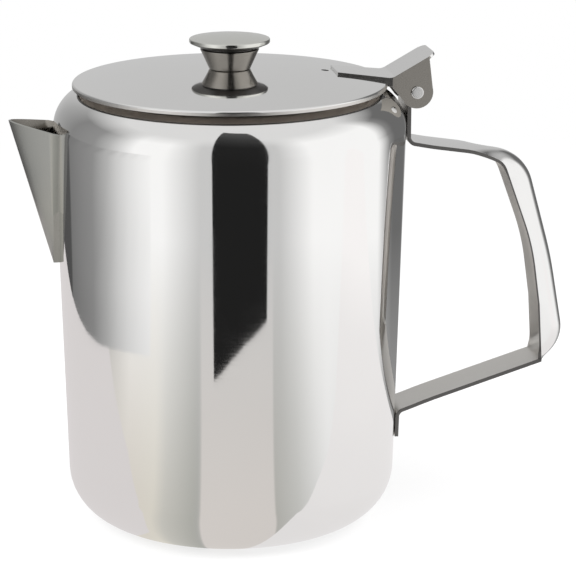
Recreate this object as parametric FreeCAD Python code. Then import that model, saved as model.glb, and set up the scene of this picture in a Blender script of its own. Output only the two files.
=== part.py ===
# Polished steel coffee pot: a drawn vessel with a welded pouring lip, a bent strip
# handle, and a domed lid that swings on a riveted hinge at the top of the handle.
# Millimetres, +Z up. The origin is the centre of the base on the vessel's axis,
# the handle is towards +X and the pouring lip towards -X.
import FreeCAD
import Part
import math
import os

V = FreeCAD.Vector
AXIS = V(0, 0, 1)
CENTRE = V(0, 0, 0)

# Fits and seams
WELD_GAP = 0.05
SNUG = 0.02
RUN = 0.05
SIDE_PLAY = 0.30
LID_REST_GAP = 0.30

# Vessel
VESSEL_WALL = 0.8
FOOT_R = 61.0
SHOULDER_R = 65.3
SHOULDER_Z = 161.2
BASE_CORNER = 19.0
SHOULDER_CORNER = 12.5
SHOULDER_LAND = 0.2
NECK_FOOT_R = 0.9

# Lid
LID_SHEET = 0.8
LID_R = 57.8
LID_EDGE_UP = 2.2
LID_SKIRT = 1.503
LID_DOME_R = 318.0
LID_EDGE_ROUND = 1.7
VENT_R = 1.0
VENT_AHEAD = 3.5

# Pouring lip
LIP_SHEET = 1.35
LIP_OUT = 16.0
LIP_H = 71.3
LIP_RIM_DROP = 10.9
LIP_RISE_DEG = 8.8
LIP_HALF_MOUTH = 19.5
LIP_NOSE_R = 5.0
WINDOW_MARGIN = 3.2
WINDOW_ROUND = 2.5

# Handle strip
STRIP = 1.4
STRIP_W = 17.4
TOP_ARM_DROP = 20.0
TOP_CORNER_OUT = 45.3
TOP_CORNER_DROP = 6.9
TOP_BEND = 17.0
GRIP_OUT = 56.0
GRIP_DROP = 46.2
GRIP_BEND = 160.0
LOW_CORNER_OUT = 62.3
LOW_CORNER_DROP = 83.5
LOW_BEND = 13.0
LOW_ARM_DROP = 104.3
LOW_TAB_H = 9.4
TAB_BEND = 2.2

# Grip side walls and their folded edges
WALL_START_OUT = 14.7
WALL_TOP_OUT = 36.5
WALL_TOP_DROP = 9.0
WALL_TOP_BEND = 7.0
WALL_MID_OUT = 47.3
WALL_MID_DROP = 40.2
WALL_MID_BEND = 90.0
WALL_LOW_OUT = 52.6
WALL_LOW_DROP = 71.2
WALL_LOW_BEND = 30.0
WALL_END_OUT = 47.9
HEM_W = 2.2
HEM_SHEET = 0.8
HEM_TOP_DROP = 17.2
HEM_END_DROP = 79.2

# Hinge
PIN_DROP = 0.2
PIN_R = 1.8
PIN_HEAD_R = 2.4
PIN_HEAD_T = 0.9
PIN_HEAD_ROUND = 0.5
ROLL_START_DEG = 180.0
ROLL_END_DEG = -100.0

# Hinge leaf on the lid
LEAF_SHEET = 1.0
LEAF_LAP = 18.8
LEAF_STAND = 1.9
LEAF_PAST = 1.0
LEAF_BEND = 4.0
LEVER_TIP_OUT = 9.5
LEVER_TIP_UP = 14.6
LEVER_CORNER = 4.0
EAR_R = 6.0
EAR_BACK_OUT = 7.3
EAR_THROAT_DEG = -135.0

# Knob
KNOB_FOOT_R = 7.5
KNOB_NECK_R = 10.9
KNOB_NECK_H = 7.4
SEAM_H = 0.7
SEAM_R = 10.0
SPIGOT_R = 7.0
SPIGOT_H = 1.6
CAP_FOOT_R = 11.0
CAP_R = 14.4
CAP_EDGE_UP = 3.7
CAP_LAND = 1.4
CAP_EDGE_ROUND = 0.6
CAP_CROWN = 1.0
SCREW_R = 2.0
SCREW_REACH = 4.4
SCREW_TIP_ROOM = 0.5
SCREW_HEAD_R = 3.6
SCREW_HEAD_T = 2.2
WASHER_R = 5.0
WASHER_T = 0.8
HOLE_ROOM = 0.2

# Construction allowances
REACH_IN = 15.0
PAST = 20.0
CONE_START = 0.02
CONE_PAST = 1.25

# Heights above the base, all following the shoulder
LID_EDGE_Z = SHOULDER_Z + LID_EDGE_UP
LID_SAG = LID_DOME_R - math.sqrt(LID_DOME_R ** 2 - LID_R ** 2)
LID_CROWN_Z = LID_EDGE_Z + LID_SKIRT + LID_SAG
LIP_RIM_Z = SHOULDER_Z - LIP_RIM_DROP
LIP_FOOT_Z = LIP_RIM_Z - LIP_H
PIN_Z = SHOULDER_Z - PIN_DROP
LEVER_TIP_Z = PIN_Z + LEVER_TIP_UP
TOP_ARM_Z = SHOULDER_Z - TOP_ARM_DROP
TOP_CORNER_Z = TOP_ARM_Z - TOP_CORNER_DROP
GRIP_Z = TOP_ARM_Z - GRIP_DROP
LOW_CORNER_Z = TOP_ARM_Z - LOW_CORNER_DROP
LOW_ARM_Z = TOP_ARM_Z - LOW_ARM_DROP
LOW_TAB_Z = LOW_ARM_Z - LOW_TAB_H
WALL_TOP_Z = TOP_ARM_Z - WALL_TOP_DROP
WALL_MID_Z = TOP_ARM_Z - WALL_MID_DROP
WALL_LOW_Z = TOP_ARM_Z - WALL_LOW_DROP
HEM_TOP_Z = TOP_ARM_Z - HEM_TOP_DROP
HEM_END_Z = TOP_ARM_Z - HEM_END_DROP
KNOB_SEAM_Z = LID_CROWN_Z + KNOB_NECK_H
CAP_EDGE_Z = KNOB_SEAM_Z + CAP_EDGE_UP
SCREW_END_Z = LID_CROWN_Z + SCREW_REACH

# Distances from the axis, following the shoulder or the lid's edge
LIP_REACH = SHOULDER_R + LIP_OUT
TOP_CORNER_X = SHOULDER_R + TOP_CORNER_OUT
GRIP_X = SHOULDER_R + GRIP_OUT
LOW_CORNER_X = SHOULDER_R + LOW_CORNER_OUT
WALL_START_X = SHOULDER_R + WALL_START_OUT
WALL_TOP_X = SHOULDER_R + WALL_TOP_OUT
WALL_MID_X = SHOULDER_R + WALL_MID_OUT
WALL_LOW_X = SHOULDER_R + WALL_LOW_OUT
WALL_END_X = SHOULDER_R + WALL_END_OUT
LEAF_FRONT_X = LID_R - LEAF_LAP
LEAF_BEND_X = LID_R + LEAF_PAST
LEVER_TIP_X = SHOULDER_R + LEVER_TIP_OUT
EAR_BACK_X = SHOULDER_R + EAR_BACK_OUT


def heading(p, q):
    """Unit direction from one flat point to the next."""
    length = math.hypot(q[0] - p[0], q[1] - p[1])
    return ((q[0] - p[0]) / length, (q[1] - p[1]) / length)


def turn(d1, d2):
    """Signed turn between two directions, left positive, in radians."""
    return math.atan2(d1[0] * d2[1] - d1[1] * d2[0], d1[0] * d2[0] + d1[1] * d2[1])


def xz(p):
    """A flat point placed in the pot's middle plane."""
    return V(p[0], 0, p[1])


def yz(p):
    """A flat point placed in the plane across the pot."""
    return V(0, p[0], p[1])


def offset_path(points, radii, left):
    """The same bent line moved to its left, with its bends kept concentric."""
    dirs = [heading(p, q) for p, q in zip(points, points[1:])]
    moved = []
    for i, p in enumerate(points):
        before = dirs[max(i - 1, 0)]
        after = dirs[min(i, len(dirs) - 1)]
        half = turn(before, after) / 2
        mid = (before[0] + after[0], before[1] + after[1])
        size = math.hypot(mid[0], mid[1])
        reach = left / math.cos(half)
        moved.append((p[0] - reach * mid[1] / size, p[1] + reach * mid[0] / size))
    grown = []
    for i, r in enumerate(radii):
        side = math.copysign(1, turn(dirs[i], dirs[i + 1]))
        grown.append(r - side * left)
    return moved, grown


def path_edges(points, radii, place):
    """Lines and tangent arcs along a bent line."""
    edges = []
    start = points[0]
    for i, r in enumerate(radii):
        corner = points[i + 1]
        d1 = heading(points[i], corner)
        d2 = heading(corner, points[i + 2])
        half = abs(turn(d1, d2)) / 2
        cut = r * math.tan(half)
        a = (corner[0] - d1[0] * cut, corner[1] - d1[1] * cut)
        b = (corner[0] + d2[0] * cut, corner[1] + d2[1] * cut)
        inward = heading(d1, d2)
        sag = r / math.cos(half) - r
        m = (corner[0] + inward[0] * sag, corner[1] + inward[1] * sag)
        edges.append(Part.LineSegment(place(start), place(a)).toShape())
        edges.append(Part.Arc(place(a), place(m), place(b)).toShape())
        start = b
    edges.append(Part.LineSegment(place(start), place(points[-1])).toShape())
    return edges


def face_of(edges):
    """One flat face from edges that close up."""
    return Part.Face(Part.Wire(Part.__sortEdges__(edges)))


def line(p, q, place):
    """A straight edge between two flat points."""
    return Part.LineSegment(place(p), place(q)).toShape()


def band_face(points, radii, left, place):
    """The section of a bent sheet whose other face lies to the left."""
    inner, inner_radii = offset_path(points, radii, left)
    edges = path_edges(points, radii, place)
    edges += path_edges(inner, inner_radii, place)
    edges.append(line(points[0], inner[0], place))
    edges.append(line(points[-1], inner[-1], place))
    return face_of(edges)


def polygon_face(points, place):
    """A straight-sided face."""
    closed = list(points) + [points[0]]
    return face_of([line(p, q, place) for p, q in zip(closed, closed[1:])])


def spun(face):
    """A solid of revolution about the pot's axis."""
    return face.revolve(CENTRE, AXIS, 360)


def across(face, y_from, y_to):
    """A side profile given its width across the pot."""
    moved = face.copy()
    moved.translate(V(0, y_from, 0))
    return moved.extrude(V(0, y_to - y_from, 0))


def one(shape):
    """The single solid left after joining or cutting."""
    clean = shape.removeSplitter()
    if len(clean.Solids) != 1:
        raise ValueError("expected one solid, found %d" % len(clean.Solids))
    return clean.Solids[0]


def rod(radius, z_from, z_to):
    """A round bar on the pot's axis."""
    return Part.makeCylinder(radius, z_to - z_from, V(0, 0, z_from), AXIS)


def dome_z(r):
    """Height of the lid's upper face at a radius."""
    return LID_CROWN_Z - LID_DOME_R + math.sqrt(LID_DOME_R ** 2 - r ** 2)


def side_r(z):
    """Outer radius of the vessel's straight tapered side."""
    return FOOT_R + (SHOULDER_R - FOOT_R) * z / SHOULDER_Z


SIDE_TAPER = math.atan2(SHOULDER_R - FOOT_R, SHOULDER_Z)
SHOULDER_CUT = SHOULDER_CORNER * math.tan((math.pi / 2 + SIDE_TAPER) / 2)
NECK_R = SHOULDER_R - SHOULDER_CUT - SHOULDER_LAND - NECK_FOOT_R
NECK_TOP_Z = dome_z(NECK_R) - LID_SHEET - LID_REST_GAP
VESSEL_PATH = [(0, 0), (FOOT_R, 0), (SHOULDER_R, SHOULDER_Z), (NECK_R, SHOULDER_Z), (NECK_R, NECK_TOP_Z)]
VESSEL_BENDS = [BASE_CORNER, SHOULDER_CORNER, NECK_FOOT_R]
SIDE_TOP_Z = SHOULDER_Z - SHOULDER_CORNER
LIP_ROOT_X = math.sqrt(side_r(SIDE_TOP_Z) ** 2 - LIP_HALF_MOUTH ** 2)


def vessel_filled(grow):
    """The vessel without its hollow, grown by a seam's gap."""
    points, radii = offset_path(VESSEL_PATH, VESSEL_BENDS, -grow)
    points[0] = (0, points[0][1])
    edges = path_edges(points, radii, xz)
    top = (0, points[-1][1])
    edges.append(line(points[-1], top, xz))
    edges.append(line(top, points[0], xz))
    return spun(face_of(edges))


def lip_half(z):
    """Half width of the pouring lip where it meets the vessel."""
    return LIP_HALF_MOUTH * (z - LIP_FOOT_Z) / (LIP_RIM_Z - LIP_FOOT_Z)


def make_vessel():
    """The drawn vessel, with the window through which it pours."""
    shell = spun(band_face(VESSEL_PATH, VESSEL_BENDS, VESSEL_WALL, xz))
    top = SIDE_TOP_Z - WINDOW_MARGIN
    wide = lip_half(top) - WINDOW_MARGIN
    low = LIP_FOOT_Z + (top - LIP_FOOT_Z) * WINDOW_MARGIN / wide
    start = (0, top)
    outline = [start, (wide, top), (0, low), (-wide, top), start]
    bends = [WINDOW_ROUND, WINDOW_ROUND, WINDOW_ROUND]
    window = face_of(path_edges(outline, bends, yz)).extrude(V(-SHOULDER_R - PAST, 0, 0))
    return one(shell.cut(window))


def lip_cone(shift, past):
    """The wedge of the pouring lip, a cone from its foot out to its rim."""
    nose_x = LIP_REACH - LIP_NOSE_R
    far = math.hypot(nose_x - LIP_ROOT_X, LIP_HALF_MOUTH)
    side = math.atan2(LIP_HALF_MOUTH, nose_x - LIP_ROOT_X) - math.asin(LIP_NOSE_R / far)
    point_x = LIP_ROOT_X + LIP_HALF_MOUTH / math.tan(side)
    root = (LIP_ROOT_X - REACH_IN, LIP_HALF_MOUTH + REACH_IN * math.tan(side))
    apex = V(-side_r(LIP_FOOT_Z), 0, LIP_FOOT_Z)
    rise = math.tan(math.radians(LIP_RISE_DEG))

    def section(scale):
        def place(p):
            rim = V(-p[0], p[1], LIP_RIM_Z + (p[0] - LIP_ROOT_X) * rise)
            return apex + (rim - apex) * scale + V(shift, 0, 0)
        outline = [root, (point_x, 0), (root[0], -root[1])]
        edges = path_edges(outline, [LIP_NOSE_R], place)
        edges.append(line(outline[-1], outline[0], place))
        return Part.Wire(Part.__sortEdges__(edges))

    return Part.makeLoft([section(CONE_START), section(past)], True, True)


def make_lip():
    """The open-topped pouring lip, trimmed to the vessel's side."""
    shell = lip_cone(0, 1).cut(lip_cone(LIP_SHEET, CONE_PAST))
    shell = shell.cut(vessel_filled(WELD_GAP))
    biggest = max(shell.Solids, key=lambda s: s.Volume)
    return one(biggest)


def strip_x(z):
    """Outer face of a handle tab lying on the vessel's side."""
    return side_r(z) + WELD_GAP + STRIP


TAB_X = strip_x(SIDE_TOP_Z)
ROLL_IN = PIN_R + RUN
ROLL_OUT = ROLL_IN + STRIP
PIN_X = TAB_X + ROLL_IN
STRIP_PATH = [
    (TAB_X, PIN_Z),
    (TAB_X, TOP_ARM_Z),
    (TOP_CORNER_X, TOP_CORNER_Z),
    (GRIP_X, GRIP_Z),
    (LOW_CORNER_X, LOW_CORNER_Z),
    (strip_x(LOW_ARM_Z), LOW_ARM_Z),
    (strip_x(LOW_TAB_Z), LOW_TAB_Z),
]
STRIP_BENDS = [TAB_BEND, TOP_BEND, GRIP_BEND, LOW_BEND, TAB_BEND]


def on_pin(radius, degrees):
    """A flat point at an angle round the hinge pin."""
    a = math.radians(degrees)
    return (PIN_X + radius * math.cos(a), PIN_Z + radius * math.sin(a))


def pin_arc(radius):
    """One face of the strip's end rolled round the hinge pin."""
    start = xz(on_pin(radius, ROLL_START_DEG))
    over = xz(on_pin(radius, (ROLL_START_DEG + ROLL_END_DEG) / 2))
    end = xz(on_pin(radius, ROLL_END_DEG))
    return Part.Arc(start, over, end).toShape()


def wall_cutter(shift):
    """Everything on the pot's side of the grip walls' free edges."""
    points = [
        (WALL_START_X + shift, TOP_ARM_Z),
        (WALL_TOP_X + shift, WALL_TOP_Z),
        (WALL_MID_X + shift, WALL_MID_Z),
        (WALL_LOW_X + shift, WALL_LOW_Z),
        (WALL_END_X + shift, LOW_ARM_Z),
    ]
    edges = path_edges(points, [WALL_TOP_BEND, WALL_MID_BEND, WALL_LOW_BEND], xz)
    high = (0, TOP_ARM_Z)
    low = (0, LOW_ARM_Z)
    edges.append(line(points[-1], low, xz))
    edges.append(line(low, high, xz))
    edges.append(line(high, points[0], xz))
    return face_of(edges)


def make_handle():
    """The strip handle: tabs, hollow grip with folded edges, rolled hinge eye."""
    half = STRIP_W / 2
    strip = across(band_face(STRIP_PATH, STRIP_BENDS, -STRIP, xz), -half, half)
    loop = path_edges(STRIP_PATH[1:-1], STRIP_BENDS[1:-1], xz)
    loop.append(line(STRIP_PATH[-2], STRIP_PATH[1], xz))
    loop_face = face_of(loop)
    wall_face = loop_face.cut(wall_cutter(0))
    edge_face = wall_face.common(wall_cutter(HEM_W))
    hem_low = (0, HEM_END_Z)
    hem_far = (LOW_CORNER_X, HEM_END_Z)
    hem_top = (LOW_CORNER_X, HEM_TOP_Z)
    hem_face = edge_face.common(polygon_face([hem_low, hem_far, hem_top, (0, HEM_TOP_Z)], xz))
    roll_edges = [
        pin_arc(ROLL_OUT),
        pin_arc(ROLL_IN),
        line(on_pin(ROLL_OUT, ROLL_START_DEG), on_pin(ROLL_IN, ROLL_START_DEG), xz),
        line(on_pin(ROLL_OUT, ROLL_END_DEG), on_pin(ROLL_IN, ROLL_END_DEG), xz),
    ]
    pieces = [across(face_of(roll_edges), -half, half)]
    for side in (-1, 1):
        outer = side * half
        inner = side * (half - STRIP)
        fold = side * (half - STRIP - HEM_SHEET)
        pieces.append(across(wall_face, inner, outer))
        pieces.append(across(hem_face, fold, inner))
    return one(strip.multiFuse(pieces))


def lid_edges(drop):
    """Upper or under side of the lid's section, from the axis to the edge's foot."""
    dome = LID_DOME_R - drop
    centre_z = LID_CROWN_Z - LID_DOME_R
    edge_r = LID_R - drop
    bend = LID_EDGE_ROUND - drop
    bend_x = edge_r - bend
    bend_z = centre_z + math.sqrt((dome - bend) ** 2 - bend_x ** 2)
    slope = math.atan2(bend_z - centre_z, bend_x)

    def on_dome(angle):
        return (dome * math.cos(angle), centre_z + dome * math.sin(angle))

    def on_bend(angle):
        return (bend_x + bend * math.cos(angle), bend_z + bend * math.sin(angle))

    top = on_dome(math.pi / 2)
    meet = on_dome(slope)
    halfway = on_dome((slope + math.pi / 2) / 2)
    rim = on_bend(0)
    foot = (edge_r, LID_EDGE_Z)
    edges = [
        Part.Arc(xz(top), xz(halfway), xz(meet)).toShape(),
        Part.Arc(xz(meet), xz(on_bend(slope / 2)), xz(rim)).toShape(),
        line(rim, foot, xz),
    ]
    return edges, top, foot


def lid_filled(grow):
    """The lid with nothing hollow under it, grown by a seam's gap."""
    edges, top, foot = lid_edges(-grow)
    base = (0, foot[1])
    edges.append(line(foot, base, xz))
    edges.append(line(base, top, xz))
    return spun(face_of(edges))


def make_lid():
    """The domed lid with its rolled-down edge, screw hole and steam vent."""
    upper, upper_top, upper_foot = lid_edges(0)
    under, under_top, under_foot = lid_edges(LID_SHEET)
    seams = [line(upper_top, under_top, xz), line(upper_foot, under_foot, xz)]
    disc = spun(face_of(upper + under + seams))
    hole = rod(SCREW_R + HOLE_ROOM, LID_EDGE_Z, LID_CROWN_Z + PAST)
    vent = rod(VENT_R, LID_EDGE_Z, LID_CROWN_Z + PAST)
    vent.translate(V(LEAF_FRONT_X - VENT_AHEAD, 0, 0))
    return one(disc.cut(hole).cut(vent))


LEAF_IN = STRIP_W / 2 + SIDE_PLAY
LEAF_OUT = LEAF_IN + LEAF_SHEET
LEAF_PATH = [
    (LEAF_FRONT_X, dome_z(LEAF_FRONT_X) + LEAF_STAND),
    (LEAF_BEND_X, dome_z(LEAF_BEND_X) + LEAF_STAND),
    (LEVER_TIP_X, LEVER_TIP_Z),
]


def make_leaf():
    """The folded hinge leaf: strap on the lid, thumb lever, and two side ears."""
    plate = across(band_face(LEAF_PATH, [LEAF_BEND], -LEAF_SHEET, xz), -LEAF_OUT, LEAF_OUT)
    tips = [e for e in plate.Edges if abs(e.BoundBox.YLength) < SNUG and e.BoundBox.XMax > EAR_BACK_X]
    tips = [e for e in tips if e.Length < LEAF_SHEET + SNUG]
    plate = plate.makeFillet(LEVER_CORNER, tips)
    lever = heading(LEAF_PATH[1], LEAF_PATH[2])
    back = (EAR_BACK_X, LEAF_PATH[1][1] + (EAR_BACK_X - LEAF_BEND_X) * lever[1] / lever[0])
    heel = (LEAF_BEND_X, LID_EDGE_Z)
    front = (LEAF_FRONT_X, LID_EDGE_Z)
    throat = on_pin(EAR_R, EAR_THROAT_DEG)
    right = on_pin(EAR_R, 0)
    outline = [LEAF_PATH[0], LEAF_PATH[1], back, right, on_pin(0, 0), throat, heel, front]
    side_face = polygon_face(outline, xz)
    disc = Part.makeCylinder(EAR_R, LEAF_SHEET, V(PIN_X, 0, PIN_Z), V(0, 1, 0))
    pieces = []
    for start in (-LEAF_OUT, LEAF_IN):
        ear = disc.copy()
        ear.translate(V(0, start, 0))
        pieces.append(ear)
        pieces.append(across(side_face, start, start + LEAF_SHEET))
    leaf = plate.multiFuse(pieces)
    span = 2 * LEAF_OUT
    bore = Part.makeCylinder(PIN_R + SNUG, span, V(PIN_X, -LEAF_OUT, PIN_Z), V(0, 1, 0))
    return one(leaf.cut(bore).cut(lid_filled(WELD_GAP)))


def make_pin():
    """The rivet on which the lid turns, with a formed head at each side."""
    face = LEAF_OUT + SNUG
    pin = Part.makeCylinder(PIN_R, 2 * face, V(PIN_X, -face, PIN_Z), V(0, 1, 0))
    heads = []
    for side in (-1, 1):
        head = Part.makeCylinder(PIN_HEAD_R, PIN_HEAD_T, V(PIN_X, side * face, PIN_Z), V(0, side, 0))
        level = [e for e in head.Edges if e.BoundBox.YLength < SNUG]
        crown = [e for e in level if abs(e.BoundBox.YMax * side - face) > SNUG]
        heads.append(head.makeFillet(PIN_HEAD_ROUND, crown))
    return one(pin.multiFuse(heads))


CAP_FOOT_Z = KNOB_SEAM_Z + SEAM_H
SPIGOT_Z = KNOB_SEAM_Z - SPIGOT_H


def make_knob():
    """The flared neck of the knob, bored for its screw and socketed for its cap."""
    outline = [
        (0, LID_EDGE_Z),
        (KNOB_FOOT_R, LID_EDGE_Z),
        (KNOB_FOOT_R, LID_CROWN_Z),
        (KNOB_NECK_R, KNOB_SEAM_Z),
        (0, KNOB_SEAM_Z),
    ]
    neck = spun(polygon_face(outline, xz))
    neck = neck.cut(lid_filled(WELD_GAP))
    neck = neck.cut(rod(SCREW_R + SNUG, LID_EDGE_Z, SCREW_END_Z + SCREW_TIP_ROOM))
    return one(neck.cut(rod(SPIGOT_R + SNUG, SPIGOT_Z - SNUG, CAP_EDGE_Z)))


def make_cap():
    """The knob's cap: spigot, recessed seam and rounded disc."""
    rim = (CAP_R, CAP_EDGE_Z)
    crown = (0, CAP_EDGE_Z + CAP_CROWN)
    outline = [
        crown,
        (0, SPIGOT_Z),
        (SPIGOT_R, SPIGOT_Z),
        (SPIGOT_R, KNOB_SEAM_Z + SNUG),
        (SEAM_R, KNOB_SEAM_Z + SNUG),
        (SEAM_R, CAP_FOOT_Z),
        (CAP_FOOT_R, CAP_FOOT_Z),
        (CAP_R, CAP_EDGE_Z - CAP_LAND),
        rim,
    ]
    ball = (CAP_R ** 2 + CAP_CROWN ** 2) / (2 * CAP_CROWN)
    half = CAP_R / 2
    swell = (half, crown[1] - ball + math.sqrt(ball ** 2 - half ** 2))
    edges = [line(p, q, xz) for p, q in zip(outline, outline[1:])]
    edges.append(Part.Arc(xz(rim), xz(swell), xz(crown)).toShape())
    cap = spun(face_of(edges))
    level = [e for e in cap.Edges if e.BoundBox.ZLength < SNUG]
    rings = [e for e in level if abs(e.Vertexes[0].Point.x - CAP_R) < SNUG]
    return one(cap.makeFillet(CAP_EDGE_ROUND, rings))


WASHER_TOP_Z = dome_z(WASHER_R) - LID_SHEET - WELD_GAP
HEAD_TOP_Z = WASHER_TOP_Z - WASHER_T


def make_washer():
    """The washer between the screw's head and the lid."""
    ring = rod(WASHER_R, HEAD_TOP_Z, WASHER_TOP_Z)
    return one(ring.cut(rod(SCREW_R + HOLE_ROOM, LID_EDGE_Z, LID_CROWN_Z)))


def make_screw():
    """The screw that holds the knob from under the lid."""
    top = HEAD_TOP_Z - SNUG
    head = rod(SCREW_HEAD_R, top - SCREW_HEAD_T, top)
    return one(head.fuse(rod(SCREW_R, top, SCREW_END_Z)))


NODES = {
    "vessel_shell": make_vessel,
    "pouring_lip": make_lip,
    "handle_strip": make_handle,
    "lid_disc": make_lid,
    "hinge_leaf": make_leaf,
    "hinge_pin": make_pin,
    "knob_neck": make_knob,
    "knob_cap": make_cap,
    "knob_screw": make_screw,
    "knob_washer": make_washer,
}

os.makedirs("parts", exist_ok=True)
for name, make in NODES.items():
    shape = make()
    box = shape.BoundBox
    print(name, shape.isValid(), round(shape.Volume / 1000, 2), box)
    shape.exportStep("parts/" + name + ".step")
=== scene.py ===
import math

import bmesh
import bpy
from bpy.props import FloatProperty, FloatVectorProperty, IntProperty, PointerProperty
from mathutils import Matrix, Vector
from mathutils.geometry import intersect_line_line_2d


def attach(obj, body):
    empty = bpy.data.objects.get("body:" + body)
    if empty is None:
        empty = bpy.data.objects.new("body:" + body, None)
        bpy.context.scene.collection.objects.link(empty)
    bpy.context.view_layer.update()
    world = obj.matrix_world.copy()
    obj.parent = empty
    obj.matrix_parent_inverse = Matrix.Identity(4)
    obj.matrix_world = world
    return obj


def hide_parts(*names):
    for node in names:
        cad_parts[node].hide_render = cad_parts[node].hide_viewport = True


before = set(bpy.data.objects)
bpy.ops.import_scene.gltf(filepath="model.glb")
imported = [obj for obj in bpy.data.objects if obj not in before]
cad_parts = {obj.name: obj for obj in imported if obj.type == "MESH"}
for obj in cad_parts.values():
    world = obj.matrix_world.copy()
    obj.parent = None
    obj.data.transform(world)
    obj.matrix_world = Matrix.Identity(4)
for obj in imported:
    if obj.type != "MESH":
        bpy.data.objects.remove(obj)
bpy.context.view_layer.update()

bl_info = {
    "name": "Steel coffee pot",
    "version": (1, 0, 0),
    "blender": (4, 5, 0),
    "location": "3D View > Sidebar > Coffee pot",
    "description": "Builds a polished steel coffee pot with a hinged lid and a studio stage for it",
    "category": "Object",
}


def length(name, description, default):
    """A length in metres that a user can change."""
    return FloatProperty(
        name=name, description=description, default=default, precision=5, unit="LENGTH", subtype="DISTANCE"
    )


def degrees(name, description, default):
    """An angle, written in degrees, that a user can change."""
    return FloatProperty(
        name=name, description=description, default=math.radians(default), unit="ROTATION", subtype="ANGLE"
    )


def share(name, description, default):
    """A value between nothing and all."""
    return FloatProperty(name=name, description=description, default=default, min=0, max=1, subtype="FACTOR")


def count(name, description, default, least):
    """A number of faces that a user can change."""
    return IntProperty(name=name, description=description, default=default, min=least)


def colour(name, description, default):
    """A linear colour that a user can change."""
    return FloatVectorProperty(
        name=name, description=description, default=default, size=3, min=0, max=1, subtype="COLOR"
    )

class VesselSizes(bpy.types.PropertyGroup):
    """Sizes of the drawn vessel."""

    foot_r: length("Foot radius", "Radius that the tapered side has at the base", 0.061)
    shoulder_r: length("Shoulder radius", "Radius that the tapered side has at the shoulder", 0.06524)
    shoulder_z: length("Shoulder height", "Height at which side and shoulder would meet", 0.1596)
    base_bend: length("Base corner", "Radius of the rounded base corner", 0.019)
    shoulder_bend: length("Shoulder corner", "Radius of the rounded shoulder", 0.0140)
    neck_r: length("Neck radius", "Radius of the neck under the lid", 0.05136)
    neck_foot: length("Neck foot", "Height at which shoulder and neck meet", 0.1636)
    neck_bend: length("Neck bend", "Radius between shoulder and neck", 0.0006)
    neck_z: length("Neck height", "Height of the neck's rim", 0.164925)
    wall: length("Wall", "Thickness of the sheet", 0.0008)
    window_half: length("Window half width", "Half the width of the pouring window", 0.0112)
    window_top: length("Window top", "Height of the pouring window's upper edge", 0.1481)
    window_low: length("Window point", "Height of the pouring window's lower point", 0.1030)
    steps: count("Turn steps", "Faces round the vessel and the lid", 192, 24)

    def side(self, z):
        """Radius of the tapered side at a height."""
        return self.foot_r + (self.shoulder_r - self.foot_r) / self.shoulder_z * z


class LipSizes(bpy.types.PropertyGroup):
    """Sizes of the pouring lip."""

    tip_x: length("Tip reach", "Distance of the lip's tip from the axis", 0.0813)
    tip_z: length("Tip height", "Height of the lip's tip", 0.1533)
    rise: degrees("Rise", "Angle at which the rim rises from the wall to the tip", 11.5)
    rim_half: length("Rim half width", "Half the width of the lip at its rim", 0.0132)
    low_half: length("Low half width", "Half the width of the lip at its low end", 0.0011)
    end_z: length("End height", "Height of the lip's low end", 0.0995)
    fold_x: length("Fold reach", "Distance from the axis at which the sides turn into flanges", 0.0661)
    nose: share("Nose", "How round the lip's front is", 0.42)
    sheet: length("Sheet", "Thickness of the sheet", 0.0008)
    sunk: length("Sunk", "How deep the lip's edges sit in the vessel's wall", 0.0004)
    rows: count("Rows", "Rows of faces from the lip's front to its edge", 12, 2)


class HandleSizes(bpy.types.PropertyGroup):
    """Sizes of the bent strip handle."""

    strip: length("Strip", "Thickness of the strip", 0.0014)
    half: length("Half width", "Half the width of the strip", 0.0087)
    tab_x: length("Upper tab", "Distance of the upper tab's face from the axis", 0.066417)
    top_arm_z: length("Top arm height", "Height at which the top arm leaves the vessel", 0.1423)
    top_x: length("Top corner reach", "Distance of the top corner from the axis", 0.1119)
    top_z: length("Top corner height", "Height of the top corner", 0.1354)
    top_bend: length("Top corner", "Radius of the top corner", 0.017)
    grip_x: length("Grip reach", "Distance of the grip's bend from the axis", 0.1231)
    grip_z: length("Grip height", "Height of the grip's bend", 0.095)
    grip_bend: length("Grip bend", "Radius of the grip's bend", 0.16)
    low_x: length("Low corner reach", "Distance of the low corner from the axis", 0.1297)
    low_z: length("Low corner height", "Height of the low corner", 0.0577)
    low_bend: length("Low corner", "Radius of the low corner", 0.013)
    low_arm_x: length("Low arm end", "Distance at which the low arm meets the vessel", 0.063434)
    low_arm_z: length("Low arm height", "Height at which the low arm meets the vessel", 0.0369)
    low_tab_x: length("Low tab", "Distance of the low tab's end from the axis", 0.063184)
    low_tab_z: length("Low tab end", "Height of the low tab's end", 0.0275)
    tab_bend: length("Tab bend", "Radius of the bends at the tabs", 0.0022)
    wall_end_x: length("Wall end", "Distance at which the grip's walls run out on the low arm", 0.1165)
    wall_turn_z: length("Wall turn", "Height below which the walls' edges run straight on", 0.0790)
    crown: length("Crown", "How far the arms' edges are pressed down", 0.0004)
    press: degrees("Press", "Slope at which the pressed grip turns into its straight edges", 76)
    rows: count("Rows", "Rows of faces from the grip's middle to its edge", 8, 2)


class LidSizes(bpy.types.PropertyGroup):
    """Sizes of the domed lid."""

    radius: length("Radius", "Radius of the lid", 0.0578)
    edge_z: length("Edge height", "Height of the lid's edge", 0.1640)
    crown_z: length("Crown height", "Height of the lid's middle", 0.1702)
    dome_r: length("Dome radius", "Radius of the lid's dome", 0.36)
    edge_bend: length("Edge", "Radius of the rolled-down edge", 0.0009)
    # Painted shade: the edge's faces steeper than this slope get darker steel.
    shade_from: share("Dull edge", "Slope of the edge past which it is not polished", 0.3)
    sheet: length("Sheet", "Thickness of the sheet", 0.0008)
    hole_r: length("Screw hole", "Radius of the knob screw's hole", 0.0022)
    vent_r: length("Vent", "Radius of the steam vent", 0.0014)
    vent_x: length("Vent place", "Distance of the steam vent from the axis", 0.0355)


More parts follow.
